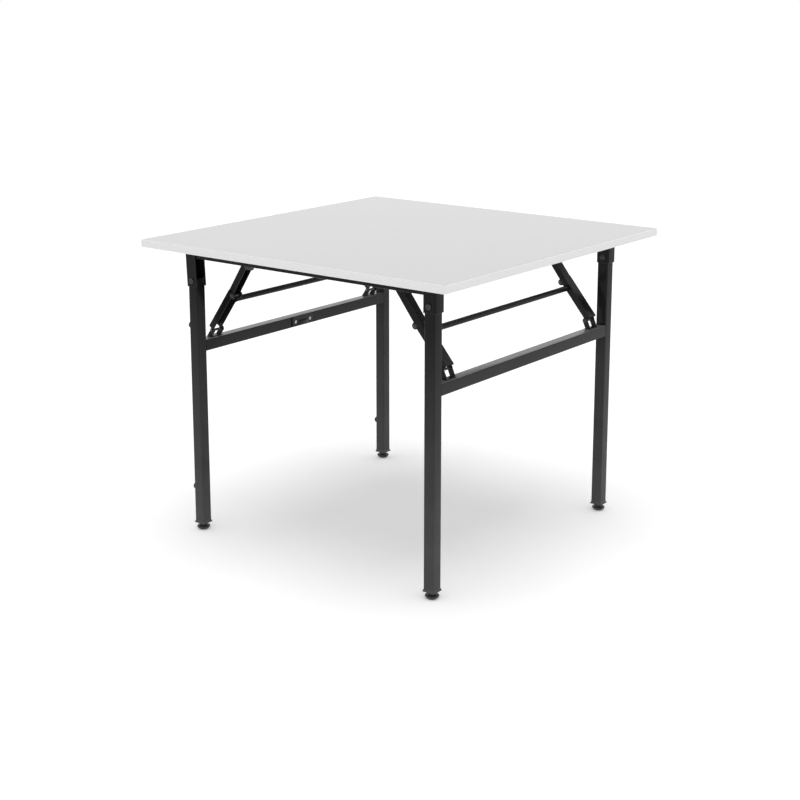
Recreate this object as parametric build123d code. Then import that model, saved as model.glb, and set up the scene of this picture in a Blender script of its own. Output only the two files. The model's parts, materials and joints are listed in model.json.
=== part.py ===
from build123d import *
from math import radians, tan
import os

# Folding banquet table, millimetres, +Z up.
# The origin is on the floor under the middle of the top, +X runs the way the legs fold.
# The left leg frame stands at -X and the right one at +X, the front is at -Y.

# Top
table_height = 734.5
top_length = 900.0
top_depth = 900.0
top_thickness = 18.0
band_thickness = 2.0
corner_radius = 4.0
arris_radius = 0.8

# Square tube of the legs, crossbars and rails
tube_size = 28.0
tube_wall = 1.5
tube_corner = 2.5
leg_inset_x = 95.0
leg_inset_y = 89.0

# Leg brackets: channels under the top, open towards the middle
bracket_wall = 2.0
bracket_side_gap = 0.5
bracket_back_gap = 1.6
bracket_lip = 1.0
bracket_tail = 14.5
bracket_bend_radius = 4.2
left_pivot_drop = 83.0
right_pivot_drop = 51.0
left_bracket_lean_degrees = 2.8
right_bracket_lean_degrees = 0.0
leg_above_pivot = 6.0

# Rivets
running_clearance = 0.05
pivot_rivet_radius = 4.0
pivot_head_radius = 7.0
pivot_head_height = 3.2
link_rivet_radius = 3.0
link_head_radius = 5.5
link_head_height = 2.4
head_rim = 0.6

# Crossbars and the clevises on them
left_crossbar_drop = 232.5
right_crossbar_drop = 224.0
brace_inset_y = 59.0
clevis_wall = 2.0
clevis_lobe_radius = 7.5
left_clevis_rise = 17.5
right_clevis_rise = 20.0
left_clevis_inset = 6.5
right_clevis_inset = 9.5
left_clevis_foot_out = 13.0
left_clevis_foot_in = 4.0
right_clevis_foot_out = 7.0
right_clevis_foot_in = 8.0

# Knee braces: two channel links, the upper one inside the lower, that lock just past straight
upper_link_width = 24.4
link_wall = 1.6
link_depth = 16.4
nest_gap = 0.3
lobe_radius = 8.0
foot_lobe_radius = 5.5
knee_past_straight = 2.5
cheek_past_knee = 6.0
web_gap = 0.3
rod_radius = 7.0
rod_from_knee = 21.5
rod_outboard = 5.7

# Brace hinges under the top
hinge_drop = 24.5
left_hinge_reach = 135.4
right_hinge_reach = 153.3
hinge_wall = 2.0
hinge_base_length = 64.0
hinge_screw_spacing = 44.0
left_ear_out = 20.0
left_ear_in = 12.0
left_ear_below = 26.0
left_ear_corner = 9.0
right_ear_out = 9.0
right_ear_in = 9.0
right_ear_below = 9.0
right_ear_corner = 8.5

# End caps and levelling feet
leg_bottom = 25.0
cap_half_width = 16.0
cap_bottom = 17.5
cap_band = 0.6
cap_plug_gap = 0.1
cap_plug_height = 20.0
glide_radius = 16.5
glide_top_radius = 15.5
glide_flat_radius = 11.0
glide_flare_height = 6.0
glide_height = 9.0
glide_flute_count = 12
glide_flute_radius = 3.0
glide_flute_depth = 0.9
neck_radius = 11.0
stud_radius = 4.0
stud_seat = 3.0
stud_top = 50.0

# Stacking buffers on the outer faces of the left legs
buffer_radius = 8.5
buffer_height = 14.0
buffer_dome = 5.0
buffer_stem_radius = 3.0
buffer_stem_length = 4.0
low_buffer_height = 108.0
high_buffer_drop = 197.0

# Catch strip on the left crossbar
strip_length = 80.0
strip_height = 24.0
strip_thickness = 3.0
strip_offset_y = 4.0
strip_corner = 2.0
strip_band_height = 8.0
strip_band_rise = 4.0
strip_band_wall = 1.6
strip_band_below_middle = 4.0
strip_screw_spacing = 56.0
strip_screw_head_radius = 4.3

# Screws
screw_shank_radius = 2.0
screw_head_radius = 4.5
screw_head_height = 2.4
screw_bite = 10.0
recess_width = 1.0
recess_length_share = 0.62
recess_depth_share = 0.5
rail_screw_shares = (0.14, 0.5, 0.86)

overrun = 5.0

# Derived levels and places
underside = table_height - top_thickness
half_tube = tube_size / 2
leg_x = top_length / 2 - leg_inset_x
leg_y = top_depth / 2 - leg_inset_y
brace_y = leg_y - brace_inset_y
bracket_back = half_tube + bracket_back_gap
bracket_inner = half_tube + bracket_side_gap
bracket_outer = bracket_inner + bracket_wall
upper_outer = upper_link_width / 2
lower_outer = upper_outer + nest_gap + link_wall
ear_inner = upper_outer + nest_gap
ear_outer = ear_inner + hinge_wall
clevis_inner = lower_outer + nest_gap
clevis_outer = clevis_inner + clevis_wall
hinge_z = underside - hinge_drop
buffer_heights = (low_buffer_height, underside - high_buffer_drop)

rows = {"front": -1, "rear": 1}

frames = {
    "left": dict(
        turn=1,
        pivot_z=underside - left_pivot_drop,
        lean=left_bracket_lean_degrees,
        crossbar_top=underside - left_crossbar_drop,
        clevis_rise=left_clevis_rise,
        clevis_inset=left_clevis_inset,
        foot_out=left_clevis_foot_out,
        foot_in=left_clevis_foot_in,
        reach=left_hinge_reach,
        ear=(left_ear_out, left_ear_in, left_ear_below, left_ear_corner),
    ),
    "right": dict(
        turn=-1,
        pivot_z=underside - right_pivot_drop,
        lean=right_bracket_lean_degrees,
        crossbar_top=underside - right_crossbar_drop,
        clevis_rise=right_clevis_rise,
        clevis_inset=right_clevis_inset,
        foot_out=right_clevis_foot_out,
        foot_in=right_clevis_foot_in,
        reach=right_hinge_reach,
        ear=(right_ear_out, right_ear_in, right_ear_below, right_ear_corner),
    ),
}

parts = {}


# Helpers

def side_face(sketch, y=0.0):
    # A sketch drawn in inboard distance and height, laid in an upright plane at y
    return Plane(origin=(0, y, 0), x_dir=(1, 0, 0), z_dir=(0, -1, 0)) * sketch


def plate(sketch, y_low, y_high):
    # The sketch as a plate between two y levels
    middle = (y_low + y_high) / 2
    return extrude(side_face(sketch, middle), amount=(y_high - y_low) / 2, both=True)


def block(low, high):
    size = [b - a for a, b in zip(low, high)]
    centre = [(a + b) / 2 for a, b in zip(low, high)]
    return Pos(*centre) * Box(*size)


def across(radius, y_low, y_high, i=0.0, z=0.0):
    # A round bar along Y
    return Pos(i, (y_low + y_high) / 2, z) * Rot(90, 0, 0) * Cylinder(radius, y_high - y_low)


def domed_body(radius, straight, height):
    # A round body standing up from z = 0: a straight wall under a dome
    rise = height - straight
    dome_radius = (radius * radius + rise * rise) / (2 * rise)
    outline = Polyline((0, 0), (radius, 0), (radius, straight))
    dome = RadiusArc((radius, straight), (0, height), -dome_radius)
    axis = Line((0, height), (0, 0))
    return revolve(Plane.XZ * make_face(outline + dome + axis), Axis.Z)


def domed_head(radius, height):
    return domed_body(radius, head_rim, height)


def rivet(shank_radius, head_radius, head_height, length):
    # A rivet along Z, centred, with a head on each end of its length
    head = domed_head(head_radius, head_height)
    shank = Cylinder(shank_radius, length)
    return shank + Pos(0, 0, length / 2) * head + Pos(0, 0, -length / 2) * Rot(180, 0, 0) * head


def rivet_across(shank_radius, head_radius, head_height, y_low, y_high, i, z):
    pin = rivet(shank_radius, head_radius, head_height, y_high - y_low)
    return Pos(i, (y_low + y_high) / 2, z) * Rot(90, 0, 0) * pin


def screw(head_radius, shank_length):
    # A cross-recess screw: the head stands up from z = 0 and the shank goes down
    head = domed_head(head_radius, screw_head_height)
    depth = screw_head_height * recess_depth_share
    slot = Box(2 * head_radius * recess_length_share, recess_width, depth + overrun)
    slot = Pos(0, 0, screw_head_height - depth + (depth + overrun) / 2) * slot
    shank = Pos(0, 0, -shank_length / 2) * Cylinder(screw_shank_radius, shank_length)
    return head - slot - Rot(0, 0, 90) * slot + shank


def square_tube(length):
    # A tube along Z from 0 to its length
    outer = RectangleRounded(tube_size, tube_size, tube_corner)
    bore = tube_size - 2 * tube_wall
    return extrude(outer - RectangleRounded(bore, bore, tube_corner - tube_wall), amount=length)


def place(shape, frame):
    # From the frame's own axes, inboard distance, y and height, to the table's
    if frame["turn"] > 0:
        return Pos(-leg_x, 0, 0) * shape
    return Pos(leg_x, 0, 0) * Rot(0, 0, 180) * shape


def group(shapes):
    return Compound(children=[solid for shape in shapes for solid in shape.solids()])


# Top and rails

def make_top():
    outer = RectangleRounded(top_length, top_depth, corner_radius)
    inner_length, inner_depth = top_length - 2 * band_thickness, top_depth - 2 * band_thickness
    inner = RectangleRounded(inner_length, inner_depth, corner_radius - band_thickness)
    parts["tabletop_panel"] = Pos(0, 0, underside) * extrude(inner, amount=top_thickness)
    slab = Pos(0, 0, underside) * extrude(outer, amount=top_thickness)
    rims = slab.faces().sort_by(Axis.Z)[0].edges() + slab.faces().sort_by(Axis.Z)[-1].edges()
    ring = fillet(rims, arris_radius) - Pos(0, 0, underside) * extrude(inner, amount=top_thickness)
    make_bands(ring)


def make_bands(ring):
    # One strip of edging on each side, mitred at the corners
    sides = (("front", top_length, top_depth), ("right", top_depth, top_length),
             ("rear", top_length, top_depth), ("left", top_depth, top_length))
    inset = band_thickness + corner_radius
    for turn, (name, along, across_top) in enumerate(sides):
        half, edge = along / 2, across_top / 2
        outline = Polyline((-half - overrun, -edge - overrun), (half + overrun, -edge - overrun),
                           (half - inset, -edge + inset), (-half + inset, -edge + inset), close=True)
        sector = Rot(0, 0, 90 * turn) * extrude(make_face(outline), amount=table_height)
        parts["edge_band_" + name] = ring & sector


def bracket_back_at(frame, z):
    # How far outboard the inner face of a bracket's back stands at a height
    return bracket_back + (z - frame["pivot_z"]) * tan(radians(frame["lean"]))


def make_rails():
    rail_bottom = underside - tube_size
    ends = {side: leg_x + bracket_back_at(frames[side], rail_bottom) for side in frames}
    length = ends["left"] + ends["right"]
    screws = []
    for row, sign in rows.items():
        tube = Rot(0, 90, 0) * square_tube(length)
        rail = Pos(-ends["left"], sign * leg_y, underside - half_tube) * tube
        for share in rail_screw_shares:
            x = -ends["left"] + length * share
            shank = tube_size + screw_bite
            fixing = Pos(x, sign * leg_y, rail_bottom) * Rot(180, 0, 0) * screw(screw_head_radius, shank)
            hole = Pos(x, sign * leg_y, rail_bottom + shank / 2) * Cylinder(screw_shank_radius, shank)
            rail -= hole
            parts["tabletop_panel"] -= hole
            screws.append(fixing)
        parts["side_rail_" + row] = rail
    parts["rail_screws"] = group(screws)


# Leg brackets and legs

def bracket_profile(frame, back, lip):
    # The bracket seen from the side: it leans outboard towards the top
    low, high = frame["pivot_z"] - bracket_tail, underside
    shift_low = bracket_back_at(frame, low) - bracket_back
    shift_high = bracket_back_at(frame, high) - bracket_back
    corners = [
        (-back - shift_low, low), (lip - shift_low, low),
        (lip - shift_high, high), (-back - shift_high, high),
    ]
    return make_face(Polyline(*corners, close=True))


def make_bracket(frame, y):
    lip = half_tube + bracket_lip
    outline = bracket_profile(frame, bracket_back + bracket_wall, lip)
    shell = plate(outline, y - bracket_outer, y + bracket_outer)
    bends = []
    for edge in shell.edges():
        along = edge.tangent_at(0)
        if edge.center().X < -bracket_back and abs(along.Z) > abs(along.Y):
            bends.append(edge)
    shell = fillet(bends, bracket_bend_radius)
    low, high = frame["pivot_z"] - bracket_tail, underside
    shift = tan(radians(frame["lean"]))
    wide = lip + overrun
    cut_low, cut_high = low - overrun, high + overrun
    hollow = make_face(Polyline(
        (-bracket_back - (cut_low - frame["pivot_z"]) * shift, cut_low),
        (wide, cut_low), (wide, cut_high),
        (-bracket_back - (cut_high - frame["pivot_z"]) * shift, cut_high), close=True))
    shell -= plate(hollow, y - bracket_inner, y + bracket_inner)
    return shell - across(pivot_rivet_radius, y - bracket_outer - overrun, y + bracket_outer + overrun,
                          0, frame["pivot_z"])


def make_leg(frame, y, with_buffers):
    top = frame["pivot_z"] + leg_above_pivot
    leg = Pos(0, y, leg_bottom) * square_tube(top - leg_bottom)
    loose = pivot_rivet_radius + running_clearance
    leg -= across(loose, y - tube_size, y + tube_size, 0, frame["pivot_z"])
    if with_buffers:
        for z in buffer_heights:
            hole = Rot(0, 90, 0) * Cylinder(buffer_stem_radius, 2 * overrun)
            leg -= Pos(-half_tube, y, z) * hole
    return leg


def make_buffer(y, z):
    straight = buffer_height - buffer_dome
    pad = domed_body(buffer_radius, straight, buffer_height)
    stem = Pos(0, 0, -buffer_stem_length / 2) * Cylinder(buffer_stem_radius, buffer_stem_length)
    return Pos(-half_tube, y, z) * Rot(0, -90, 0) * (pad + stem)


# End caps and levelling feet

def make_end_cap():
    width = 2 * cap_half_width
    top = Pos(0, 0, leg_bottom) * RectangleRounded(tube_size, tube_size, tube_corner)
    low = Pos(0, 0, cap_bottom + cap_band) * RectangleRounded(width, width, tube_corner)
    skirt = loft([low, top])
    band = Pos(0, 0, cap_bottom) * extrude(RectangleRounded(width, width, tube_corner), amount=cap_band)
    plug_width = tube_size - 2 * tube_wall - 2 * cap_plug_gap
    plug = Pos(0, 0, leg_bottom) * extrude(
        RectangleRounded(plug_width, plug_width, tube_corner - tube_wall), amount=cap_plug_height)
    bore = Cylinder(stud_radius + running_clearance, 2 * (leg_bottom + cap_plug_height + overrun))
    return skirt + band + plug - bore


def make_glide():
    flare = make_face(Polyline(
        (0, 0), (glide_flat_radius, 0), (glide_radius, glide_flare_height),
        (glide_top_radius, glide_height), (neck_radius, glide_height), (neck_radius, cap_bottom),
        (0, cap_bottom), close=True))
    glide = revolve(Plane.XZ * flare, Axis.Z)
    reach = glide_radius + glide_flute_radius - glide_flute_depth
    flute = Pos(reach, 0, 0) * Cylinder(glide_flute_radius, 2 * glide_height)
    for place_on_rim in PolarLocations(0, glide_flute_count):
        glide -= place_on_rim * flute
    bore = Pos(0, 0, stud_seat + table_height / 2) * Cylinder(stud_radius, table_height)
    return glide - bore


def make_stud():
    return Pos(0, 0, (stud_seat + stud_top) / 2) * Cylinder(stud_radius, stud_top - stud_seat)


# Knee braces

def brace_pivots(frame):
    # The lower pivot, the knee and the upper pivot: the knee locks inboard of the straight line
    foot = Vector(frame["clevis_inset"], frame["crossbar_top"] + frame["clevis_rise"])
    head = Vector(frame["reach"], hinge_z)
    along = (head - foot).normalized()
    knee = (foot + head) / 2 + Vector(along.Y, -along.X) * knee_past_straight
    return foot, knee, head


def link_plane(low_pivot, high_pivot, y):
    # Local x runs up the link from its lower pivot, local y outboard to the web
    along = (high_pivot - low_pivot).normalized()
    return Plane(origin=(low_pivot.X, y, low_pivot.Y), x_dir=(along.X, 0, along.Y), z_dir=(0, -1, 0))


def web_setback(frame):
    # The links lean towards each other at the knee, so their webs stop short of it to meet at the outer face
    foot, _, head = brace_pivots(frame)
    return web_gap / 2 + link_depth * knee_past_straight / ((head - foot).length / 2)


def link_body(plane, cheeks, web, pivots, half_outer):
    # Two cheeks with a round lobe and a hole at each pivot, and the web that joins their outboard edges
    start, end = cheeks
    cheek = Pos((start + end) / 2, link_depth / 2) * Rectangle(end - start, link_depth)
    for u, lobe, _ in pivots:
        cheek += Pos(u, 0) * Circle(lobe)
    for u, _, hole in pivots:
        cheek -= Pos(u, 0) * Circle(hole)
    start, end = web
    strip = Pos((start + end) / 2, link_depth - link_wall / 2) * Rectangle(end - start, link_wall)
    body = extrude(plane * strip, amount=half_outer, both=True)
    for side in (-1, 1):
        middle = side * (half_outer - link_wall / 2)
        body += extrude(plane.offset(middle) * cheek, amount=link_wall / 2, both=True)
    return body


def make_lower_link(frame, y):
    # The outer channel: its cheeks run on past the knee, over the sides of the upper link
    foot, knee, _ = brace_pivots(frame)
    length = (knee - foot).length
    pivots = [(0, foot_lobe_radius, link_rivet_radius + running_clearance),
              (length, lobe_radius, link_rivet_radius)]
    cheeks = (0, length + cheek_past_knee)
    web = (0, length - web_setback(frame))
    return link_body(link_plane(foot, knee, y), cheeks, web, pivots, lower_outer)


def make_upper_link(frame, y):
    _, knee, head = brace_pivots(frame)
    length = (head - knee).length
    loose = link_rivet_radius + running_clearance
    pivots = [(0, lobe_radius, loose), (length, lobe_radius, loose)]
    span = (web_setback(frame), length)
    return link_body(link_plane(knee, head, y), span, span, pivots, upper_outer)


def make_knee_rivet(frame, y):
    _, knee, _ = brace_pivots(frame)
    return rivet_across(link_rivet_radius, link_head_radius, link_head_height,
                        y - lower_outer, y + lower_outer, knee.X, knee.Y)


def make_rod(frame):
    foot, knee, _ = brace_pivots(frame)
    up_the_link = (knee - foot).length - rod_from_knee
    spot = link_plane(foot, knee, 0).from_local_coords(Vector(up_the_link, rod_outboard, 0))
    reach = brace_y - lower_outer
    return across(rod_radius, -reach, reach, spot.X, spot.Z)


def make_clevis(frame, y):
    # Two ears on a foot plate that lies on the crossbar
    foot, _, _ = brace_pivots(frame)
    base = frame["crossbar_top"]
    ear = make_face(Polyline(
        (-frame["foot_out"], base), (frame["foot_in"], base),
        (foot.X + clevis_lobe_radius, foot.Y), (foot.X - clevis_lobe_radius, foot.Y), close=True))
    ear += Pos(foot.X, foot.Y) * Circle(clevis_lobe_radius)
    ear -= Pos(foot.X, foot.Y) * Circle(link_rivet_radius)
    clevis = block((-frame["foot_out"], y - clevis_outer, base),
                   (frame["foot_in"], y + clevis_outer, base + clevis_wall))
    for side in (-1, 1):
        edges = sorted((y + side * clevis_inner, y + side * clevis_outer))
        clevis += plate(ear, *edges)
    return clevis


def make_clevis_rivets(frame, y):
    # The link's lower pivot: a short rivet in each ear, flush with the ear's inner face
    foot, _, _ = brace_pivots(frame)
    head = domed_head(link_head_radius, link_head_height)
    shank = Pos(0, 0, -clevis_wall / 2) * Cylinder(link_rivet_radius, clevis_wall)
    stub = head + shank
    return [Pos(foot.X, y + side * clevis_outer, foot.Y) * Rot(-90 * side, 0, 0) * stub
            for side in (-1, 1)]


def make_hinge(frame, y):
    # An upside-down channel: its base is under the top and its ears hold the brace
    out, inside, below, corner = frame["ear"]
    reach = frame["reach"]
    ear = Pos(reach + (inside - out) / 2, (underside + hinge_z - below) / 2) * Rectangle(
        out + inside, underside - hinge_z + below)
    ear = fillet(ear.vertices().sort_by(Axis.Y)[:2], corner)
    ear -= Pos(reach, hinge_z) * Circle(link_rivet_radius)
    half = hinge_base_length / 2
    hinge = block((reach - half, y - ear_outer, underside - hinge_wall),
                  (reach + half, y + ear_outer, underside))
    for side in (-1, 1):
        edges = sorted((y + side * ear_inner, y + side * ear_outer))
        hinge += plate(ear, *edges)
    for i in hinge_screw_places(frame):
        hinge -= Pos(i, y, underside) * Cylinder(screw_shank_radius, 2 * overrun)
    return hinge


def hinge_screw_places(frame):
    return [frame["reach"] + side * hinge_screw_spacing / 2 for side in (-1, 1)]


def make_hinge_screws(frame, y):
    shank = hinge_wall + screw_bite
    fixing = Rot(180, 0, 0) * screw(screw_head_radius, shank)
    return [Pos(i, y, underside - hinge_wall) * fixing for i in hinge_screw_places(frame)]


def hinge_screw_holes(frame, y):
    hole = Pos(0, 0, screw_bite / 2) * Cylinder(screw_shank_radius, screw_bite)
    return [Pos(i, y, underside) * hole for i in hinge_screw_places(frame)]


# Catch strip

def make_catch(frame):
    # A plate on the inboard face of the crossbar with a bowed band between two screws
    middle_z = frame["crossbar_top"] - half_tube
    face = Plane(origin=(half_tube, strip_offset_y, middle_z), x_dir=(0, 1, 0), z_dir=(1, 0, 0))
    outline = RectangleRounded(strip_length, strip_height, strip_corner)
    strip = extrude(face * outline, amount=strip_thickness)
    half_band = strip_screw_spacing / 2 - strip_screw_head_radius - strip_band_wall
    rise = strip_thickness + strip_band_rise
    bow = ThreePointArc((-half_band, strip_thickness), (0, rise), (half_band, strip_thickness))
    inner_half = half_band - strip_band_wall
    inner_rise = rise - strip_band_wall
    under = ThreePointArc((inner_half, strip_thickness), (0, inner_rise), (-inner_half, strip_thickness))
    ends = Line((half_band, strip_thickness), (inner_half, strip_thickness))
    close = Line((-inner_half, strip_thickness), (-half_band, strip_thickness))
    band_plane = Plane(origin=(half_tube, strip_offset_y, middle_z - strip_band_below_middle),
                       x_dir=(0, 1, 0), z_dir=(0, 0, -1))
    section = make_face(bow + ends + under + close)
    strip += extrude(band_plane * section, amount=strip_band_height / 2, both=True)
    screws = []
    shank = strip_thickness + tube_wall + screw_bite
    for side in (-1, 1):
        y = strip_offset_y + side * strip_screw_spacing / 2
        spot = Pos(half_tube + strip_thickness, y, middle_z) * Rot(0, 90, 0)
        hole = spot * Pos(0, 0, -shank / 2) * Cylinder(screw_shank_radius, shank)
        strip -= hole
        parts["crossbar_left"] -= hole
        screws.append(spot * screw(strip_screw_head_radius, shank))
    parts["catch_strip"] = place(strip, frame)
    parts["catch_screws"] = place(group(screws), frame)


# Assembly

def make_frame(side, frame):
    pivot_rivets, clevis_rivets, knee_rivets, hinge_rivets, screws = [], [], [], [], []
    reach = leg_y - half_tube
    bar = Rot(-90, 0, 0) * square_tube(2 * reach)
    parts["crossbar_" + side] = Pos(0, -reach, frame["crossbar_top"] - half_tube) * bar
    if side == "left":
        make_catch(frame)
    parts["crossbar_" + side] = place(parts["crossbar_" + side], frame)
    for row, sign in rows.items():
        corner = side + "_" + row
        y = frame["turn"] * sign * leg_y
        link_y = frame["turn"] * sign * brace_y
        parts["leg_bracket_" + corner] = place(make_bracket(frame, y), frame)
        pivot_rivets.append(place(rivet_across(
            pivot_rivet_radius, pivot_head_radius, pivot_head_height,
            y - bracket_outer, y + bracket_outer, 0, frame["pivot_z"]), frame))
        parts["leg_" + corner] = place(make_leg(frame, y, side == "left"), frame)
        parts["end_cap_" + corner] = place(Pos(0, y, 0) * make_end_cap(), frame)
        parts["foot_glide_" + corner] = place(Pos(0, y, 0) * make_glide(), frame)
        parts["foot_stud_" + corner] = place(Pos(0, y, 0) * make_stud(), frame)
        parts["clevis_" + corner] = place(make_clevis(frame, link_y), frame)
        parts["lower_link_" + corner] = place(make_lower_link(frame, link_y), frame)
        parts["upper_link_" + corner] = place(make_upper_link(frame, link_y), frame)
        parts["brace_hinge_" + corner] = place(make_hinge(frame, link_y), frame)
        clevis_rivets += [place(stub, frame) for stub in make_clevis_rivets(frame, link_y)]
        knee_rivets.append(place(make_knee_rivet(frame, link_y), frame))
        hinge_rivets.append(place(rivet_across(
            link_rivet_radius, link_head_radius, link_head_height,
            link_y - ear_outer, link_y + ear_outer, frame["reach"], hinge_z), frame))
        screws += [place(fixing, frame) for fixing in make_hinge_screws(frame, link_y)]
        for hole in hinge_screw_holes(frame, link_y):
            parts["tabletop_panel"] -= place(hole, frame)
    parts["leg_pivot_rivets_" + side] = group(pivot_rivets)
    parts["clevis_rivets_" + side] = group(clevis_rivets)
    parts["knee_rivets_" + side] = group(knee_rivets)
    parts["hinge_rivets_" + side] = group(hinge_rivets)
    parts["connecting_rod_" + side] = place(make_rod(frame), frame)
    return screws


make_top()
make_rails()
hinge_screws = []
for frame_side, leg_frame in frames.items():
    hinge_screws += make_frame(frame_side, leg_frame)
parts["hinge_screws"] = group(hinge_screws)
parts["stacking_buffers"] = group([
    place(make_buffer(sign * leg_y, z), frames["left"])
    for sign in rows.values() for z in buffer_heights])

os.makedirs("parts", exist_ok=True)
for node, shape in parts.items():
    solids = shape.solids()
    whole = solids[0] if len(solids) == 1 else Compound(children=list(solids))
    export_step(whole, "parts/" + node + ".step")
print(len(parts), "nodes")
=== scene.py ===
import json
import math

import bmesh
import bpy
import numpy as np
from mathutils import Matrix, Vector


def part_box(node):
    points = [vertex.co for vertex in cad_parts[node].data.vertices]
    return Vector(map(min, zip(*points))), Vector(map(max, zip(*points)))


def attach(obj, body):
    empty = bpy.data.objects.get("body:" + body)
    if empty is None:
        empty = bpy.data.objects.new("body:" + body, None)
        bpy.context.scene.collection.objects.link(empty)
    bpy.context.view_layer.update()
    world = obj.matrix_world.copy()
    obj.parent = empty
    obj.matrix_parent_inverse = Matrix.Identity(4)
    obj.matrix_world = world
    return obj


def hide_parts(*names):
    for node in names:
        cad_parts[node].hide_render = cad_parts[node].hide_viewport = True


# A square folding table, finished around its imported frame: metres, +Z up, the front at -Y
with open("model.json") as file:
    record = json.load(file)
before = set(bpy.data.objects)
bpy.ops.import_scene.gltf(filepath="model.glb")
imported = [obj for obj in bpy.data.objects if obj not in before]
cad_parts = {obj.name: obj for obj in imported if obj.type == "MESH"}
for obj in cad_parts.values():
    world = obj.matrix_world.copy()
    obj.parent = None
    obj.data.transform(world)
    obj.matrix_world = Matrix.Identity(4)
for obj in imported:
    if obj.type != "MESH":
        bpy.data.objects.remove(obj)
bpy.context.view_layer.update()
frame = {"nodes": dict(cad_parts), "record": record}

cadNodes = frame["nodes"]
bodyOfNode = {}
for body, members in frame["record"]["behaviour"]["bodies"].items():
    for node in members:
        bodyOfNode[node] = body
slotOfNode = {part["node"]: part["material_slot"] for part in frame["record"]["subparts"]}
sides = ("left", "right")
rows = ("front", "rear")
corners = [side + "_" + row for side in sides for row in rows]
print("frame loaded:", len(cadNodes), "nodes")


# Node helpers for the materials

def addNode(tree, kind, inputs=None, **settings):
    # An input is either another node's socket, which is linked, or a plain value
    node = tree.nodes.new("ShaderNode" + kind)
    for key, value in settings.items():
        setattr(node, key, value)
    for key, value in (inputs or {}).items():
        if isinstance(value, bpy.types.NodeSocket):
            tree.links.new(value, node.inputs[key])
        else:
            node.inputs[key].default_value = value
    return node


def newFinish(name, sockets):
    # A material whose plain numbers sit on the shader's own sockets
    material = bpy.data.materials.new(name)
    material.use_nodes = True
    tree = material.node_tree
    shader = tree.nodes["Principled BSDF"]
    for key, value in sockets.items():
        shader.inputs[key].default_value = value
    place = addNode(tree, "TexCoord").outputs["Object"]
    return material, tree, shader, place


def noise(tree, place, scale, detail=2.0, roughness=0.5):
    inputs = {"Vector": place, "Scale": scale, "Detail": detail, "Roughness": roughness}
    return addNode(tree, "TexNoise", inputs).outputs["Fac"]


def remap(tree, value, fromLow, fromHigh, toLow, toHigh):
    inputs = {"Value": value, "From Min": fromLow, "From Max": fromHigh, "To Min": toLow, "To Max": toHigh}
    return addNode(tree, "MapRange", inputs).outputs["Result"]


def combine(tree, operation, first, second):
    return addNode(tree, "Math", {0: first, 1: second}, operation=operation).outputs[0]


def blendTones(tree, factor, first, second, kind="MIX"):
    # Socket 0 is the factor, 6 and 7 are the two colours
    inputs = {0: factor}
    for key, tone in ((6, first), (7, second)):
        inputs[key] = tone if isinstance(tone, bpy.types.NodeSocket) else (*tone, 1.0)
    return addNode(tree, "Mix", inputs, data_type="RGBA", blend_type=kind).outputs[2]


def setSheen(tree, shader, pattern, look, span=(0.3, 0.7)):
    # Roughness goes from roughLow to roughHigh over the span that holds most of a noise's values
    rough = remap(tree, pattern, *span, look["roughLow"], look["roughHigh"])
    tree.links.new(rough, shader.inputs["Roughness"])


def lift(tree, shader, height, look):
    inputs = {"Height": height, "Distance": look["grain"], "Strength": look["grainStrength"]}
    bump = addNode(tree, "Bump", inputs)
    tree.links.new(bump.outputs["Normal"], shader.inputs["Normal"])


def grey(level, coolness=0.0):
    # A grey with a little less red and more blue where coolness is above nought
    return (level * (1 - coolness), level, level * (1 + coolness))


# Materials

laminateLook = {
    "pale": 0.592, "deep": 0.580, "cloudScale": 2.5, "cloudDetail": 3.0,
    "speckScale": 900.0, "speckRoughness": 0.7, "speckSpan": (0.35, 0.65), "speckDepth": 0.02,
    "sheenScale": 6.0, "roughLow": 0.14, "roughHigh": 0.17, "ior": 1.5,
    "grain": 0.00001, "grainStrength": 0.1,
}


def laminateFinish(look):
    # Smooth pressed laminate: a faintly cloudy grey with a fine speckle and an even satin sheen
    material, tree, shader, place = newFinish("laminateFinish", {"IOR": look["ior"]})
    cloud = noise(tree, place, look["cloudScale"], look["cloudDetail"])
    tone = blendTones(tree, cloud, grey(look["deep"]), grey(look["pale"]))
    speck = noise(tree, place, look["speckScale"], roughness=look["speckRoughness"])
    fleck = remap(tree, speck, *look["speckSpan"], 1.0 - look["speckDepth"], 1.0)
    tree.links.new(blendTones(tree, 1.0, tone, fleck, "MULTIPLY"), shader.inputs["Base Color"])
    setSheen(tree, shader, noise(tree, place, look["sheenScale"]), look)
    lift(tree, shader, speck, look)
    return material


edgingLook = {
    "pale": 0.91, "deep": 0.88, "blotchScale": 9.0, "lineScale": (1.5, 1.5, 900.0),
    "roughLow": 0.30, "roughHigh": 0.42, "ior": 1.5, "grain": 0.00003, "grainStrength": 0.25,
}


def edgingFinish(look):
    # Extruded edging: hair lines that run along the strip and a slight wander in its white
    material, tree, shader, place = newFinish("edgingFinish", {"IOR": look["ior"]})
    drawnOut = addNode(tree, "Mapping", {"Vector": place, "Scale": look["lineScale"]}).outputs["Vector"]
    lines = noise(tree, drawnOut, 1.0)
    blotch = noise(tree, place, look["blotchScale"])
    tone = blendTones(tree, blotch, grey(look["deep"]), grey(look["pale"]))
    tree.links.new(tone, shader.inputs["Base Color"])
    setSheen(tree, shader, lines, look)
    lift(tree, shader, lines, look)
    return material


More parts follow.
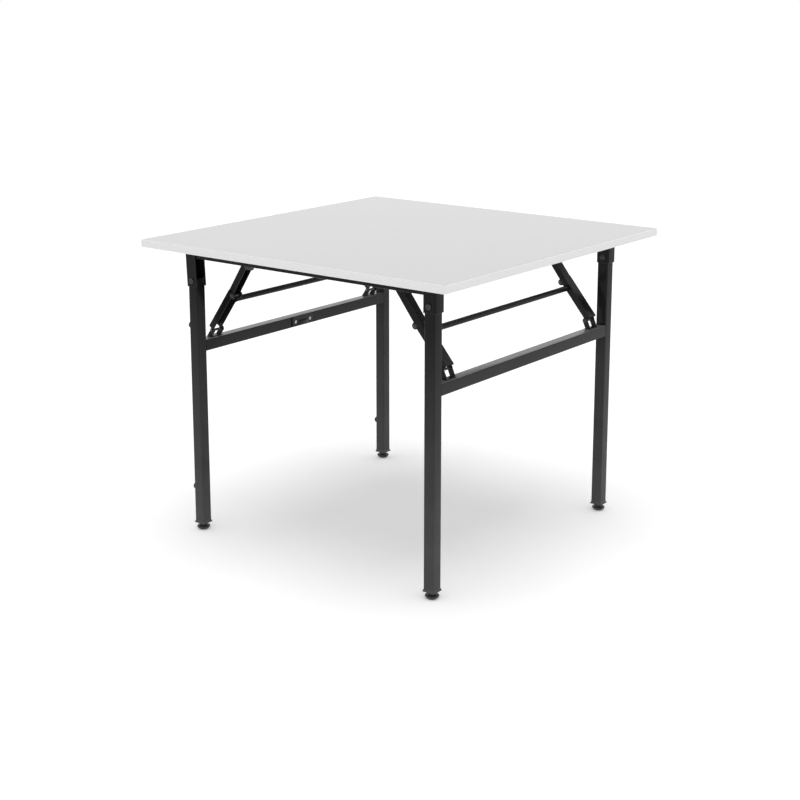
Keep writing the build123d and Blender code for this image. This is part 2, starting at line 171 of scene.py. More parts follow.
# Painted and moulded blacks share one recipe: two tones, a sheen range, a grain, and a painted lightening
# towards the floor that copies the floor's bounce and the shade under the top
darkLooks = {
    "powderCoat": {
        "deep": 0.0070, "pale": 0.0100, "paintedBounceTone": 0.086, "paintedBounceTop": 0.62, "paintedBounceFoot": 0.02,
        "toneScale": 35.0, "roughLow": 0.16, "roughHigh": 0.22, "specular": 0.11,
        "grainScale": 1500.0, "grain": 0.00002, "grainStrength": 0.12, "rubbed": 0.0,
    },
    # The crossbars' coat carries a pale painted reflection on the faces that look up
    "barCoat": {
        "deep": 0.0080, "pale": 0.0110, "paintedBounceTone": 0.060, "paintedBounceTop": 0.62, "paintedBounceFoot": 0.02,
        "toneScale": 35.0, "roughLow": 0.14, "roughHigh": 0.20, "specular": 0.15,
        "grainScale": 1500.0, "grain": 0.00002, "grainStrength": 0.12, "rubbed": 0.0, "paintedTopReflection": 0.26,
    },
    # A lighter coat for the bevelled edges: partly wear, partly a painted highlight along them
    "edgeWearAndHighlightCoat": {
        "deep": 0.045, "pale": 0.085, "paintedBounceTone": 0.120, "paintedBounceTop": 0.64, "paintedBounceFoot": 0.02,
        "toneScale": 120.0, "roughLow": 0.28, "roughHigh": 0.38, "specular": 0.5,
        "grainScale": 900.0, "grain": 0.00003, "grainStrength": 0.2, "rubbed": 0.35,
    },
    "hingeCoat": {
        "deep": 0.030, "pale": 0.048, "paintedBounceTone": 0.048, "paintedBounceTop": 0.64, "paintedBounceFoot": 0.02,
        "toneScale": 60.0, "roughLow": 0.26, "roughHigh": 0.36, "specular": 0.4,
        "grainScale": 1100.0, "grain": 0.00004, "grainStrength": 0.2, "rubbed": 0.15,
    },
    "rivetCoat": {
        "deep": 0.014, "pale": 0.034, "paintedBounceTone": 0.034, "paintedBounceTop": 0.62, "paintedBounceFoot": 0.02,
        "toneScale": 260.0, "roughLow": 0.22, "roughHigh": 0.36, "specular": 0.6,
        "grainScale": 1400.0, "grain": 0.00004, "grainStrength": 0.25, "rubbed": 0.2,
    },
    "mouldedBlack": {
        "deep": 0.034, "pale": 0.044, "paintedBounceTone": 0.060, "paintedBounceTop": 0.05, "paintedBounceFoot": 0.0,
        "toneScale": 80.0, "roughLow": 0.40, "roughHigh": 0.55, "specular": 0.45,
        "grainScale": 2200.0, "grain": 0.00006, "grainStrength": 0.35, "rubbed": 0.0,
    },
    "nylonBlack": {
        "deep": 0.012, "pale": 0.019, "paintedBounceTone": 0.040, "paintedBounceTop": 0.012, "paintedBounceFoot": 0.0,
        "toneScale": 140.0, "roughLow": 0.32, "roughHigh": 0.46, "specular": 0.5,
        "grainScale": 1800.0, "grain": 0.00004, "grainStrength": 0.25, "rubbed": 0.0,
    },
    "buffRubber": {
        "deep": 0.012, "pale": 0.020, "paintedBounceTone": 0.030, "paintedBounceTop": 0.62, "paintedBounceFoot": 0.02,
        "toneScale": 90.0, "roughLow": 0.62, "roughHigh": 0.80, "specular": 0.35,
        "grainScale": 1300.0, "grain": 0.00008, "grainStrength": 0.4, "rubbed": 0.0,
    },
    "stripPlastic": {
        "deep": 0.006, "pale": 0.009, "paintedBounceTone": 0.012, "paintedBounceTop": 0.62, "paintedBounceFoot": 0.02,
        "toneScale": 70.0, "roughLow": 0.30, "roughHigh": 0.42, "specular": 0.25,
        "grainScale": 1700.0, "grain": 0.00005, "grainStrength": 0.25, "rubbed": 0.0,
    },
}
sharedDark = {
    "toneDetail": 3.0, "toneCoolness": 0.02, "paintedLightCoolness": 0.01,
    "patchScale": 14.0, "patchDetail": 4.0, "patchSpan": (0.25, 0.75), "patchThin": 0.75,
    "facingSpan": (0.6, 0.95), "sheenFineness": 3, "grainDetail": 1.0,
}


def darkFinish(name, look, shared):
    # Tone wanders between deep and pale, a painted lightening grows towards the floor in place of the floor's
    # bounce and the top's shade, and fine grain lifts the skin
    sockets = {"Specular IOR Level": look["specular"], "Metallic": look["rubbed"]}
    material, tree, shader, place = newFinish(name, sockets)
    deep, pale = (grey(look[key], shared["toneCoolness"]) for key in ("deep", "pale"))
    tone = blendTones(tree, noise(tree, place, look["toneScale"], shared["toneDetail"]), deep, pale)
    # Painted light: the base colour turns paler towards the floor and stays dark up under the top, standing
    # in for the floor's bounce and the top's shade
    height = addNode(tree, "SeparateXYZ", {"Vector": place}).outputs["Z"]
    fall = remap(tree, height, look["paintedBounceFoot"], look["paintedBounceTop"], 1.0, 0.0)
    patches = noise(tree, place, shared["patchScale"], shared["patchDetail"])
    patch = remap(tree, patches, *shared["patchSpan"], shared["patchThin"], 1.0)
    paintedBounceMask = combine(tree, "MULTIPLY", fall, patch)
    paintedLightTone = blendTones(tree, paintedBounceMask, tone, grey(look["paintedBounceTone"], shared["paintedLightCoolness"]))
    if "paintedTopReflection" in look:
        # A painted reflection: faces that look up with the legs open turn paler, in place of the grazing
        # reflection of the light above them
        facing = addNode(tree, "TexCoord").outputs["Normal"]
        up = addNode(tree, "SeparateXYZ", {"Vector": facing}).outputs["Z"]
        paintedReflectionMask = combine(tree, "MULTIPLY", remap(tree, up, *shared["facingSpan"], 0.0, 1.0), patch)
        paintedLightTone = blendTones(tree, paintedReflectionMask, paintedLightTone, grey(look["paintedTopReflection"], shared["paintedLightCoolness"]))
    tree.links.new(paintedLightTone, shader.inputs["Base Color"])
    setSheen(tree, shader, noise(tree, place, look["toneScale"] * shared["sheenFineness"]), look)
    lift(tree, shader, noise(tree, place, look["grainScale"], shared["grainDetail"]), look)
    return material


zincLook = {
    "deep": 0.50, "pale": 0.74, "coolness": 0.01, "cellScale": 900.0, "roughLow": 0.20, "roughHigh": 0.36,
    "grainScale": 2600.0, "grainDetail": 1.0, "grain": 0.00002, "grainStrength": 0.2,
}


def zincFinish(look):
    # Bright plate: small crystals, of which the paler ones are the smoother
    material, tree, shader, place = newFinish("zincFinish", {"Metallic": 1.0})
    inputs = {"Vector": place, "Scale": look["cellScale"]}
    cells = addNode(tree, "TexVoronoi", inputs).outputs["Color"]
    level = addNode(tree, "SeparateXYZ", {"Vector": cells}).outputs["X"]
    deep, pale = (grey(look[key], look["coolness"]) for key in ("deep", "pale"))
    tree.links.new(blendTones(tree, level, deep, pale), shader.inputs["Base Color"])
    rough = remap(tree, level, 0.0, 1.0, look["roughHigh"], look["roughLow"])
    tree.links.new(rough, shader.inputs["Roughness"])
    lift(tree, shader, noise(tree, place, look["grainScale"], look["grainDetail"]), look)
    return material


finishes = {name: darkFinish(name, look, sharedDark) for name, look in darkLooks.items()}
finishes["laminate"] = laminateFinish(laminateLook)
finishes["edging"] = edgingFinish(edgingLook)
finishes["zinc"] = zincFinish(zincLook)
finishOfSlot = {
    "laminate": "laminate", "edge_banding": "edging", "black_steel": "powderCoat",
    "hinge_steel": "hingeCoat", "rivet_steel": "rivetCoat", "zinc": "zinc",
    "black_plastic": "mouldedBlack", "glide_plastic": "nylonBlack", "rubber": "buffRubber",
    "strip_plastic": "stripPlastic",
}
print("materials made:", len(finishes))


# Surfaces: a shape is its points and its faces

def gridShape(points, closeRows=False):
    # points[row, column] are places on a surface that closes round its columns, and over its rows too
    # where asked: a quad joins each four neighbours
    rowCount, columnCount = points.shape[:2]
    row = np.arange(rowCount if closeRows else rowCount - 1)
    row, column = (a.ravel() for a in np.meshgrid(row, np.arange(columnCount), indexing="ij"))
    nextRow, nextColumn = (row + 1) % rowCount, (column + 1) % columnCount
    quads = np.stack([row * columnCount + column, row * columnCount + nextColumn,
                      nextRow * columnCount + nextColumn, nextRow * columnCount + column], axis=1)
    return points.reshape(-1, 3), quads


def joinShapes(shapes):
    # Each shape's faces count on from the points of those before it
    starts = np.cumsum([0] + [len(points) for points, _ in shapes])
    points = np.concatenate([points for points, _ in shapes])
    faces = np.concatenate([faces + start for (_, faces), start in zip(shapes, starts)])
    return points, faces


def placeShape(shape, origin, along=(0, 0, 1)):
    # The shape's own +Z is turned to point along, and its origin goes to the given place
    turn = np.array(Vector(along).to_track_quat("Z", "Y").to_matrix())
    points, faces = shape
    return points @ turn.T + np.array(origin), faces


def arc(centreR, centreZ, radius, startDegrees, endDegrees, count):
    # Points of a round stretch of a profile, by angle from +r towards +z
    angle = np.radians(np.linspace(startDegrees, endDegrees, count))
    return np.stack([centreR + radius * np.cos(angle), centreZ + radius * np.sin(angle)], axis=1)


def domeArc(radius, height, rise, endDegrees, count):
    # A dome that starts at the given radius, a rise below its height, and ends at an angle over the
    # horizon. The radius of its bow is (radius squared + rise squared) / twice the rise
    bow = (radius * radius + rise * rise) / (2 * rise)
    spread = math.degrees(math.asin(radius / bow))
    return arc(0, height - bow, bow, 90 - spread, endDegrees, count)


def profileOf(*stretches):
    # Single points (r, z) and arrays of them, one after another
    return np.concatenate([np.atleast_2d(np.array(stretch, float)) for stretch in stretches])


def fullTurn(sectors):
    # Even angles round a turn, as one row
    return np.linspace(0, 2 * np.pi, sectors, endpoint=False)[None, :]


def turned(r, z, angle):
    # Every row's r and z at every column's angle a: x = r cos a, y = r sin a
    return np.stack([r * np.cos(angle), r * np.sin(angle), z + 0 * angle], axis=2)


def revolve(profile, sectors):
    # Each profile point (r, z) goes round the Z axis
    return gridShape(turned(profile[:, 0, None], profile[:, 1, None], fullTurn(sectors)))


def threadedRod(radius, zLow, zHigh, thread):
    # The radius falls from the crest by the thread's depth as a triangle wave of z / pitch - angle / turn,
    # cut off flat at crest and root, and it falls by as much over the chamfer at each end
    rowCount = int((zHigh - zLow) / thread["pitch"] * thread["rowsPerTurn"])
    z = np.linspace(zLow, zHigh, rowCount)[:, None]
    angle = fullTurn(thread["sectors"])
    phase = (z / thread["pitch"] - angle / (2 * np.pi)) % 1.0
    wave = np.clip((np.abs(2 * phase - 1) - thread["flat"]) / (1 - 2 * thread["flat"]), 0, 1)
    endDrop = np.clip(1 - np.minimum(z - zLow, zHigh - z) / thread["chamfer"], 0, 1)
    points = turned(radius - thread["depth"] * np.maximum(wave, endDrop), z, angle)
    lowPole, highPole = points[:1] * [0, 0, 1], points[-1:] * [0, 0, 1]
    return gridShape(np.concatenate([lowPole, points, highPole]))


def squareRing(half, corner, perCorner=5):
    # A square with round corners: each corner's arc is centred a corner radius in from both sides
    angle = np.radians(np.linspace(0, 90, perCorner))[None, :] + np.radians([0, 90, 180, 270])[:, None]
    centre = half - corner
    cx = np.array([centre, -centre, -centre, centre])[:, None]
    cy = np.array([centre, centre, -centre, -centre])[:, None]
    return np.stack([(cx + corner * np.cos(angle)).ravel(), (cy + corner * np.sin(angle)).ravel()], axis=1)


def loftSquares(levels):
    # levels hold (z, half width, corner radius), in order round a closed section
    rings = [(z, squareRing(half, corner)) for z, half, corner in levels]
    points = np.stack([np.column_stack([ring, np.full(len(ring), z)]) for z, ring in rings])
    return gridShape(points, closeRows=True)


# Meshes: CAD nodes read, and pieces handed over

meshCare = {
    "decimals": 6, "mergeWithin": 2e-6, "flatDegrees": 0.6, "sharpDegrees": 32, "bevelSegments": 2,
}


def boxOf(node):
    low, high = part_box(node)
    return np.array(low), np.array(high)


def mergedMesh(node):
    # The node's loose triangles with equal corners made one, less those that fall to nothing
    mesh = cadNodes[node].data
    points = np.empty(len(mesh.vertices) * 3)
    mesh.vertices.foreach_get("co", points)
    triangles = np.empty(len(mesh.polygons) * 3, int)
    mesh.polygons.foreach_get("vertices", triangles)
    points = np.round(points.reshape(-1, 3), meshCare["decimals"])
    merged, place = np.unique(points, axis=0, return_inverse=True)
    triangles = place.ravel()[triangles].reshape(-1, 3)
    whole = (triangles[:, 0] != triangles[:, 1]) & (triangles[:, 1] != triangles[:, 2])
    whole &= triangles[:, 2] != triangles[:, 0]
    return merged, triangles[whole]


def solidBoxes(node):
    # Boxes of the separate solids in a CAD node: each merged vertex takes the lowest label it can reach
    points, faces = mergedMesh(node)
    label = np.arange(len(points))
    while True:
        lowest = label[faces].min(axis=1)
        before = label.copy()
        for k in range(faces.shape[1]):
            np.minimum.at(label, faces[:, k], lowest)
        label = label[label]
        if np.array_equal(before, label):
            break
    groups = [points[label == value] for value in np.unique(label)]
    return [(group.min(axis=0), group.max(axis=0)) for group in groups]


def meshOf(name, shape):
    # All faces of a shape have the same number of corners
    points, faces = shape
    mesh = bpy.data.meshes.new(name)
    mesh.vertices.add(len(points))
    mesh.vertices.foreach_set("co", points.astype(np.float32).ravel())
    mesh.loops.add(faces.size)
    mesh.loops.foreach_set("vertex_index", faces.astype(np.int32).ravel())
    mesh.polygons.add(len(faces))
    mesh.polygons.foreach_set("loop_start", np.arange(0, faces.size, faces.shape[1], dtype=np.int32))
    mesh.update(calc_edges=True)
    return mesh


def addPiece(name, mesh, body, slotName, node=None, edgeFinish=None):
    # The edges' finish is the second material, where there is one: a lighter coat that is partly wear and
    # partly a painted highlight along the edges
    piece = bpy.data.objects.new(name, mesh)
    bpy.context.scene.collection.objects.link(piece)
    mesh.materials.append(finishes[finishOfSlot[slotName]])
    if edgeFinish:
        mesh.materials.append(finishes[edgeFinish])
    mesh.shade_smooth()
    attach(piece, body)
    if node:
        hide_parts(node)
    return piece


def newPiece(name, shape, node=None, body=None, slotName=None):
    # A surface of this script, for a CAD node or else for a body and slot of its own: doubles merged,
    # normals outwards, edges past the sharp angle kept crisp
    mesh = meshOf(name, shape)
    work = bmesh.new()
    work.from_mesh(mesh)
    bmesh.ops.remove_doubles(work, verts=work.verts, dist=meshCare["mergeWithin"])
    bmesh.ops.dissolve_degenerate(work, edges=work.edges, dist=meshCare["mergeWithin"])
    bmesh.ops.recalc_face_normals(work, faces=work.faces)
    work.to_mesh(mesh)
    work.free()
    addPiece(name, mesh, body or bodyOfNode[node], slotName or slotOfNode[node], node)
    mesh.set_sharp_from_angle(angle=math.radians(meshCare["sharpDegrees"]))


def finishedCopy(node, edge, edgeFinish=None):
    # The CAD shape with flat faces joined and every crisp edge given a small worn round
    name = node + "_finished"
    mesh = meshOf(name, mergedMesh(node))
    work = bmesh.new()
    work.from_mesh(mesh)
    flat = math.radians(meshCare["flatDegrees"])
    bmesh.ops.dissolve_limit(work, angle_limit=flat, verts=work.verts, edges=work.edges)
    work.to_mesh(mesh)
    work.free()
    piece = addPiece(name, mesh, bodyOfNode[node], slotOfNode[node], node, edgeFinish)
    bevel = piece.modifiers.new("worn edges", "BEVEL")
    bevel.width = edge
    bevel.segments = meshCare["bevelSegments"]
    bevel.limit_method = "ANGLE"
    bevel.angle_limit = math.radians(meshCare["sharpDegrees"])
    bevel.harden_normals = True
    if edgeFinish:
        bevel.material = 1
    return piece


# The top

topEdges = {"panel": 0.0002, "strip": 0.00022}

finishedCopy("tabletop_panel", topEdges["panel"])
for strip in ("front", "rear", "left", "right"):
    finishedCopy("edge_band_" + strip, topEdges["strip"])
print("top finished")


# Painted steelwork, and the catch strip on it

wornEdges = {
    "side_rail": 0.0003, "leg_bracket": 0.0006, "brace_hinge": 0.0005, "leg": 0.0003,
    "crossbar": 0.0002, "clevis": 0.0004, "upper_link": 0.0004, "lower_link": 0.0004, "catch_strip": 0.0004,
}

for row in rows:
    finishedCopy("side_rail_" + row, wornEdges["side_rail"], "edgeWearAndHighlightCoat")
for side in sides:
    # The crossbars have a coat of their own, with a painted reflection on the faces that look up
    bar = finishedCopy("crossbar_" + side, wornEdges["crossbar"], "edgeWearAndHighlightCoat")
    bar.data.materials[0] = finishes["barCoat"]
for corner in corners:
    for kind in ("leg_bracket", "brace_hinge", "leg", "clevis", "upper_link", "lower_link"):
        finishedCopy(kind + "_" + corner, wornEdges[kind], "edgeWearAndHighlightCoat")
finishedCopy("catch_strip", wornEdges["catch_strip"])
print("steelwork finished")


# Round bars that join the braces

rodLook = {"endRound": 0.0008, "endPoints": 4, "sectors": 40, "spans": 60}


def roundBar(radius, length, look):
    # A straight bar with its two ends rounded over
    edge, half, count = look["endRound"], length / 2, look["endPoints"]
    middle = np.linspace(-half + edge, half - edge, look["spans"])
    profile = profileOf(
        (0, -half), arc(radius - edge, -half + edge, edge, -90, 0, count),
        np.stack([np.full(len(middle), radius), middle], axis=1),
        arc(radius - edge, half - edge, edge, 0, 90, count), (0, half))
    return revolve(profile, look["sectors"])


for side in sides:
    node = "connecting_rod_" + side
    low, high = boxOf(node)
    bar = roundBar((high[2] - low[2]) / 2, high[1] - low[1], rodLook)
    newPiece(node + "_turned", placeShape(bar, (low + high) / 2, (0, 1, 0)), node)
print("rods made")


# Rivets: a dome on one end, and on the other a second dome or a rolled rim round a well

rivetLook = {
    "footShare": 0.2, "domePoints": 12, "rimShare": 0.24, "rimPoints": 6, "crownShare": 0.8,
    "wellShare": 0.34, "wellDepthShare": 0.55, "sectors": 40,
}
rivetKinds = {
    "leg_pivot_rivets": {"carrier": "leg_bracket", "shank": 0.004, "rolled": True},
    "hinge_rivets": {"carrier": "brace_hinge", "shank": 0.003, "rolled": False},
    "knee_rivets": {"carrier": "lower_link", "shank": 0.003, "rolled": False},
}
clevisPin = {"shank": 0.003}


def domedEnd(radius, height, look):
    # From the edge of the head up to its crown, as (r, z) above the face it sits on
    rise = height * (1 - look["footShare"])
    return profileOf((radius, 0), domeArc(radius, height, rise, 90, look["domePoints"]))


def rolledEnd(radius, height, look):
    # From the edge of the head over its rolled rim, a half round, and down into the well in its middle
    rim, well = radius * look["rimShare"], radius * look["wellShare"]
    rimZ = (height - rim) * look["crownShare"]
    floor = height * (1 - look["wellDepthShare"])
    count = look["rimPoints"]
    return profileOf(
        (radius, 0), arc(radius - rim, rimZ, rim, 0, 90, count),
        arc(well + rim, rimZ, rim, 90, 180, count), (well, floor), (0, floor))


def rivetShape(shank, grip, headRadius, headHeight, rolled, look):
    # Along Z and centred: low head, shank through the grip, high head
    low = domedEnd(headRadius, headHeight, look)
    high = rolledEnd(headRadius, headHeight, look) if rolled else low
    lower = (low * [1, -1] - [0, grip / 2])[::-1]
    profile = profileOf(lower, (shank, -grip / 2), (shank, grip / 2), high + [0, grip / 2])
    return revolve(profile, look["sectors"])


def makeRivets(side, name, kind, look):
    # One in each solid's box, with its high head outboard. The carrier's width is the grip
    carrierLow, carrierHigh = boxOf(kind["carrier"] + "_" + side + "_rear")
    grip = carrierHigh[1] - carrierLow[1]
    shapes = []
    for low, high in solidBoxes(name + "_" + side):
        size, centre = high - low, (low + high) / 2
        rivet = rivetShape(kind["shank"], grip, size[0] / 2, (size[1] - grip) / 2, kind["rolled"], look)
        shapes.append(placeShape(rivet, centre, (0, math.copysign(1, centre[1]), 0)))
    newPiece(name + "_" + side + "_set", joinShapes(shapes), name + "_" + side)


def makeClevisPins(side, look):
    # The lower pins run right through from ear to ear, where the solids have a stub in each ear
    node = "clevis_rivets_" + side
    stubs = np.array(solidBoxes(node))
    headRadius = (stubs[0, 1, 0] - stubs[0, 0, 0]) / 2
    shapes = []
    for row in rows:
        clevisLow, clevisHigh = boxOf("clevis_" + side + "_" + row)
        grip, middle = clevisHigh[1] - clevisLow[1], (clevisLow[1] + clevisHigh[1]) / 2
        mine = stubs[np.abs(stubs[:, :, 1].mean(axis=1) - middle) < grip]
        low, high = mine[:, 0].min(axis=0), mine[:, 1].max(axis=0)
        pin = rivetShape(clevisPin["shank"], grip, headRadius, (high[1] - low[1] - grip) / 2, False, look)
        shapes.append(placeShape(pin, (low + high) / 2, (0, 1, 0)))
    newPiece(node + "_set", joinShapes(shapes), node)


for side in sides:
    for name, kind in rivetKinds.items():
        makeRivets(side, name, kind, rivetLook)
    makeClevisPins(side, rivetLook)
print("rivets made")


# Screws with a cross recess

screwLook = {
    "armLength": 0.60, "armWidth": 0.15, "recessDepth": 0.55, "edgeSoft": 0.05, "footShare": 0.3,
    "headHeight": 0.0024, "neckShare": 0.3, "shank": 0.0019, "shankDrop": 0.0002, "rings": 22, "sectors": 96,
}
screwThread = {
    "depth": 0.00035, "pitch": 0.0011, "flat": 0.1875, "chamfer": 0.003, "sectors": 16, "rowsPerTurn": 6,
}


def screwShape(headRadius, headHeight, shankLength, look, thread):
    # The head's height over its seat is a dome, h (1 - (r / R) squared), less a cross: two arms whose walls
    # fall smoothly. The shank below it is a thread that narrows at its ends
    share = np.linspace(1, 0, look["rings"])[:, None]
    angle = fullTurn(look["sectors"])
    x, y = share * np.cos(angle), share * np.sin(angle)

    def inside(value, limit):
        # 1 within the limit and 0 past it, with a soft wall between
        return np.clip((limit - np.abs(value)) / look["edgeSoft"] + 0.5, 0, 1)

    arms = np.maximum(inside(x, look["armLength"]) * inside(y, look["armWidth"]),
                      inside(y, look["armLength"]) * inside(x, look["armWidth"]))
    foot = headHeight * look["footShare"]
    z = foot + (headHeight - foot) * (1 - share ** 2) - headHeight * look["recessDepth"] * arms
    cap = np.stack([headRadius * x, headRadius * y, z], axis=2)
    rim = cap[:1] * [1, 1, 0]
    neck = rim * look["neckShare"]
    head = gridShape(np.concatenate([neck * 0, neck, rim, cap]))
    shank = threadedRod(look["shank"], -shankLength, -look["shankDrop"], thread)
    return joinShapes([head, shank])


def screwSet(node, seat, along):
    # One screw in each solid's box: the head looks along, and its seat is where the carrier's face is
    axis = int(np.argmax(np.abs(along)))
    across = (axis + 1) % 3
    shapes = []
    for low, high in solidBoxes(node):
        tip, crown = (low[axis], high[axis]) if along[axis] > 0 else (high[axis], low[axis])
        centre = (low + high) / 2
        centre[axis] = seat
        screw = screwShape((high[across] - low[across]) / 2, abs(crown - seat), abs(seat - tip),
                           screwLook, screwThread)
        shapes.append(placeShape(screw, centre, along))
    newPiece(node + "_set", joinShapes(shapes), node)


# The rail's screws sit on its lower face, and the others a head's height from the end of their box
screwSet("rail_screws", boxOf("side_rail_front")[0][2], (0, 0, -1))
screwSet("hinge_screws", boxOf("hinge_screws")[0][2] + screwLook["headHeight"], (0, 0, -1))
screwSet("catch_screws", boxOf("catch_screws")[1][0] - screwLook["headHeight"], (1, 0, 0))
print("screws made")


# End caps, glides and studs

capLook = {
    "brimRound": 0.0003, "brimWall": 0.0009, "brimTop": 0.0012, "brimCorner": 0.0012,
    "waist": 0.0145, "waistShare": 0.6, "corner": 0.0025, "plugStep": 0.0016, "plugCorner": 0.00125,
    "bore": 0.00405,
}


def endCap(low, high, legHalf, legBottom, look):
    # Squares from the brim up the flared skirt to the leg, then the plug in the tube, and down the bore
    half, edge, bottom, top = (high[0] - low[0]) / 2, look["brimRound"], low[2], high[2]
    brim, corner, plugCorner, bore = (look[key] for key in ("brimCorner", "corner", "plugCorner", "bore"))
    plug = legHalf - look["plugStep"]
    waistZ = bottom + look["waistShare"] * (legBottom - bottom)
    return loftSquares([
        (bottom, bore, bore), (bottom, half - edge, brim), (bottom + edge, half, brim),
        (bottom + look["brimWall"], half, brim), (bottom + look["brimTop"], half - edge, brim),
        (waistZ, look["waist"], corner), (legBottom - edge, legHalf, corner), (legBottom, legHalf, corner),
        (legBottom, plug, plugCorner), (top - edge, plug, plugCorner), (top, plug - edge, plugCorner),
        (top, bore, bore),
    ])


# The belly's line is given from its widest place, and shoulder, edge and neck rise from the belly's height
glideLook = {
    "base": 0.0108, "baseRise": 0.0003, "edge": 0.0008, "bellyHeight": 0.0066,
    "bellyLine": ((-0.0022, -0.0030), (-0.0007, -0.0013), (0, -0.0002), (0, 0.0004), (-0.0004, 0.0010)),
    "shoulder": 0.0155, "shoulderRise": 0.0026, "edgeRise": 0.0030, "neck": 0.0100, "neckRise": 0.0031,
    "bore": 0.0040, "boreFloor": 0.003, "flutes": 12, "fluteDepth": 0.00117, "fluteNarrowing": 1.7,
    "fluteFrom": 0.0125, "sectors": 144,
}


def glide(low, high, look):
    # A flared foot turned about Z, less its flutes. In each, r falls by the depth times the squared sine of
    # a hump, which is 1 where the sine of half the flute count times the angle is nought. That fall grows
    # from nothing at the flutes' start to the whole at the belly's widest
    widest, rise, edge, top = (high[0] - low[0]) / 2, look["bellyHeight"], look["edge"], high[2]
    profile = profileOf(
        (0, low[2]), (look["base"] - edge, low[2]), (look["base"], low[2] + look["baseRise"]),
        np.array(look["bellyLine"]) + [widest, rise],
        (look["shoulder"], rise + look["shoulderRise"]), (look["shoulder"] - edge, rise + look["edgeRise"]),
        (look["neck"], rise + look["neckRise"]), (look["neck"], top),
        (look["bore"], top), (look["bore"], look["boreFloor"]), (0, look["boreFloor"]))
    angle = fullTurn(look["sectors"])
    r, z = profile[:, 0, None], profile[:, 1, None]
    outward = np.clip((r - look["fluteFrom"]) / (widest - look["fluteFrom"]), 0, 1)
    hump = np.clip(1 - np.abs(np.sin(angle * look["flutes"] / 2)) * look["fluteNarrowing"], 0, 1)
    r = r - look["fluteDepth"] * outward * np.sin(hump * np.pi / 2) ** 2
    return gridShape(turned(r, z, angle))


studThread = {
    "depth": 0.00065, "pitch": 0.00125, "flat": 0.1875, "chamfer": 0.0010, "sectors": 28, "rowsPerTurn": 8,
}

for corner in corners:
    legLow, legHigh = boxOf("leg_" + corner)
    legHalf = (legHigh[1] - legLow[1]) / 2
    under = (legLow + legHigh) / 2 * [1, 1, 0]
    node = "end_cap_" + corner
    cap = endCap(*boxOf(node), legHalf, legLow[2], capLook)
    newPiece(node + "_moulded", placeShape(cap, under), node)
    node = "foot_glide_" + corner
    foot = glide(*boxOf(node), glideLook)
    newPiece(node + "_moulded", placeShape(foot, under), node)
    node = "foot_stud_" + corner
    low, high = boxOf(node)
    stud = threadedRod((high[0] - low[0]) / 2, low[2], high[2], studThread)
    newPiece(node + "_threaded", placeShape(stud, under), node)
print("feet made")


# Rubber buffers on the left legs

bufferLook = {
    "seatRound": 0.0002, "seatRise": 0.0003, "flangeHeight": 0.0018, "flangeSlope": 0.0007,
    "wallFoot": 0.0003, "wallInset": 0.00042, "dome": 0.005, "domeEnd": 84, "domePoints": 12,
    "dimple": 0.0005, "dimpleReach": 0.55, "dimpleShare": 0.4, "stem": 0.003, "stemTaper": 0.8, "sectors": 48,
}


def buffer(radius, height, stemLength, look):
    # The stem below the seat, a flange, a wall a little inside it, and a dome with a dimple in its middle
    stem, taper, flange = look["stem"], look["stemTaper"], look["flangeHeight"]
    wall = radius - look["wallInset"]
    dome = domeArc(wall, height, look["dome"], look["domeEnd"], look["domePoints"])
    dimple = look["dimple"]
    profile = profileOf(
        (0, -stemLength), (stem * taper, -stemLength), (stem, -stemLength * taper), (stem, 0),
        (radius - look["seatRound"], 0), (radius, look["seatRise"]), (radius, flange),
        (wall + look["wallFoot"], flange + look["flangeSlope"]), (wall, height - look["dome"]), dome,
        (dome[-1][0] * look["dimpleReach"], height - dimple * look["dimpleShare"]), (0, height - dimple))
    return revolve(profile, look["sectors"])


legFace = boxOf("leg_left_front")[0][0]
shapes = []
for low, high in solidBoxes("stacking_buffers"):
    pad = buffer((high[1] - low[1]) / 2, legFace - low[0], high[0] - legFace, bufferLook)
    shapes.append(placeShape(pad, (legFace, *(low + high)[1:] / 2), (-1, 0, 0)))
newPiece("stacking_buffers_moulded", joinShapes(shapes), "stacking_buffers")
print("buffers made")


# Weld beads: crossbar to leg, clevis to crossbar, and round the rods where they meet the links

weldLook = {
    "barSize": 0.0024, "barInset": 0.0025, "clevisSize": 0.0011, "clevisInset": 0.001,
    "rodSize": 0.0010, "rodRipples": 22, "ripple": 0.055, "pitch": 0.0048, "taper": 0.004,
    "fullness": 0.94, "steps": 140, "sectionPoints": 6,
}


def weldBead(path, sideA, sideB, size, pitch, taper, look):
    # A quarter-round fillet along a path, between the directions sideA and sideB: its size swells and
    # shrinks as a sine of the way along, and falls to nothing over the taper at each end. With no taper
    # the path closes on itself
    step = np.linalg.norm(np.diff(path, axis=0), axis=1)
    way = np.concatenate([[0], np.cumsum(step)])[:, None, None]
    swell = 1 + look["ripple"] * np.sin(2 * np.pi * way / pitch)
    endFade = np.sqrt(np.clip(np.minimum(way, way[-1] - way) / taper, 0, 1)) if taper else 1.0
    angle = np.radians(np.linspace(0, 90, look["sectionPoints"]))[None, :, None]
    section = np.cos(angle) * sideA[:, None] + np.sin(angle) * sideB[:, None]
    outer = size * swell * endFade * look["fullness"] * section
    root = np.zeros((len(path), 1, 3))
    return gridShape(path[:, None] + np.concatenate([root, outer], axis=1), closeRows=not taper)


def straightBead(start, end, sideA, sideB, size, look):
    # The path's points lie at even steps from start to end
    way = np.linspace(0, 1, look["steps"])[:, None]
    path = np.array(start) * (1 - way) + np.array(end) * way
    a, b = (np.tile(np.array(side, float), (len(path), 1)) for side in (sideA, sideB))
    return weldBead(path, a, b, size, look["pitch"], look["taper"], look)


